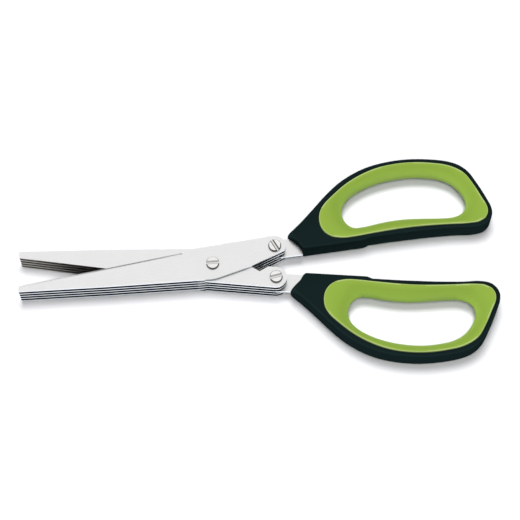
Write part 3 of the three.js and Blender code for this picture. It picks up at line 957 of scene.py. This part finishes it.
def dress_blades():
    """Steel and a small bevel for the blades, which stay the CAD solids."""
    for half in ("a", "b"):
        for number in range(1, BLADES_PER_HALF + 1):
            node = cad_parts[f"blade_{half}_{number}"]
            dress(node, steel_material(half, number))
            edge = node.modifiers.new("edge", "BEVEL")
            edge.width = EDGE_ROUND
            edge.segments = EDGE_STEPS
            edge.limit_method = "ANGLE"
            edge.angle_limit = math.radians(BLADE_SHARP)
            edge.harden_normals = True


def build_handles():
    """The shells and the inserts, which replace their nodes."""
    shell_looks = [shell_material()]
    grip_looks = [grip_material("rubber", GRIP_FLAT, GRIP_STEEP), grip_material("lip", LIP_HIGHLIGHT_FLAT, LIP_HIGHLIGHT_STEEP)]
    for half in ("a", "b"):
        outline, border, hole = grip_loops(half)
        shell = make_shell(half, outline, border)
        insert = make_insert(half, border, hole)
        for piece, node, looks, slot in (
                (shell, f"handle_shell_{half}", shell_looks, "shell_plastic"),
                (insert, f"grip_insert_{half}", grip_looks, "grip_rubber")):
            dress_parts(piece, looks)
            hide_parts(node)
            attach(piece, f"half_{half}")


def build_screws():
    """The screws, which replace their nodes, and the steel of the spacers, painted dark as shade, and of the
    nuts.
    """
    looks = [screw_material(part, bright) for part, bright in HEAD_LOOKS.items()]
    for node, body in (("pivot_screw", "half_a"), ("rear_screw_a", "half_a"), ("rear_screw_b", "half_b")):
        screw = make_screw(node)
        dress_parts(screw, [*looks, screw_material(f"wall_{node}", SLOT_WALL_SHADING[node])])
        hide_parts(node)
        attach(screw, body)
    for name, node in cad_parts.items():
        # The spacers between the blades take the side's dark steel: painted shade
        if name.startswith("spacer_"):
            dress(node, looks[SIDE])
        elif "barrel_nut" in name:
            dress(node, looks[HEAD])


def build_floor():
    """A pale, matt floor."""
    mesh = bpy.data.meshes.new("floor")
    corners = [(x * FLOOR_REACH, y * FLOOR_REACH, 0) for x, y in ((-1, -1), (1, -1), (1, 1), (-1, 1))]
    mesh.from_pydata(corners, [], [(0, 1, 2, 3)])
    floor = link("floor", mesh)
    material, _, shader = new_material("floor_paper")
    shader.inputs["Base Color"].default_value = (*FLOOR_COLOUR, 1)
    shader.inputs["Roughness"].default_value = FLOOR_ROUGHNESS
    shader.inputs["Specular IOR Level"].default_value = 0.0
    dress(floor, material)


def build_lights():
    """A tent that faces only mirror, and two soft lamps nearly overhead that no face mirrors."""
    world = bpy.data.worlds.new("studio")
    bpy.context.scene.world = world
    world.use_nodes = True
    world.cycles_visibility.diffuse = False
    tree = world.node_tree
    background = tree.nodes["Background"]
    background.inputs["Color"].default_value = (1, 1, 1, 1)
    height = separated(tree, add_node(tree, "ShaderNodeTexCoord").outputs["Generated"])[2]
    strength = ranged(tree, height, (TENT_FOOT, TENT_TOP), (TENT_DARK, TENT_LIGHT))
    tree.links.new(strength, background.inputs["Strength"])
    add_lamp("key_light", KEY_TILT, KEY_SIZE, KEY_POWER)
    add_lamp("fill_light", FILL_TILT, FILL_SIZE, FILL_POWER)


def add_lamp(name, tilt, size, power):
    """A round lamp that is tilted from overhead, towards the north where the tilt is above 0."""
    tilt = math.radians(tilt)
    data = bpy.data.lights.new(name, "AREA")
    data.shape = "DISK"
    data.size = size
    data.energy = power
    lamp = link(name, data)
    lamp.location = Vector((0, math.sin(tilt), math.cos(tilt))) * LAMP_DISTANCE
    lamp.rotation_euler = (VIEW_TARGET - lamp.location).to_track_quat("-Z", "Y").to_euler()
    lamp.visible_glossy = False


def build_camera():
    """The camera, where the photograph's stood."""
    turn = math.radians(VIEW_AZIMUTH)
    tilt = math.radians(VIEW_ELEVATION)
    right = Vector((math.cos(turn), math.sin(turn), 0))
    away = Vector((-math.sin(turn), math.cos(turn), 0))
    back = -away * math.cos(tilt) + Vector((0, 0, math.sin(tilt)))
    data = bpy.data.cameras.new("camera")
    data.sensor_width = SENSOR_WIDTH
    data.lens = data.sensor_width / 2 / math.tan(math.radians(VIEW_ANGLE) / 2)
    camera = link("camera", data)
    axes = Matrix((right, back.cross(right), back)).transposed().to_4x4()
    camera.matrix_world = Matrix.Translation(VIEW_TARGET + back * VIEW_DISTANCE) @ axes
    bpy.context.scene.camera = camera


bpy.context.scene.view_settings.view_transform = "Standard"
build_camera()
build_floor()
build_lights()
dress_blades()
build_handles()
build_screws()
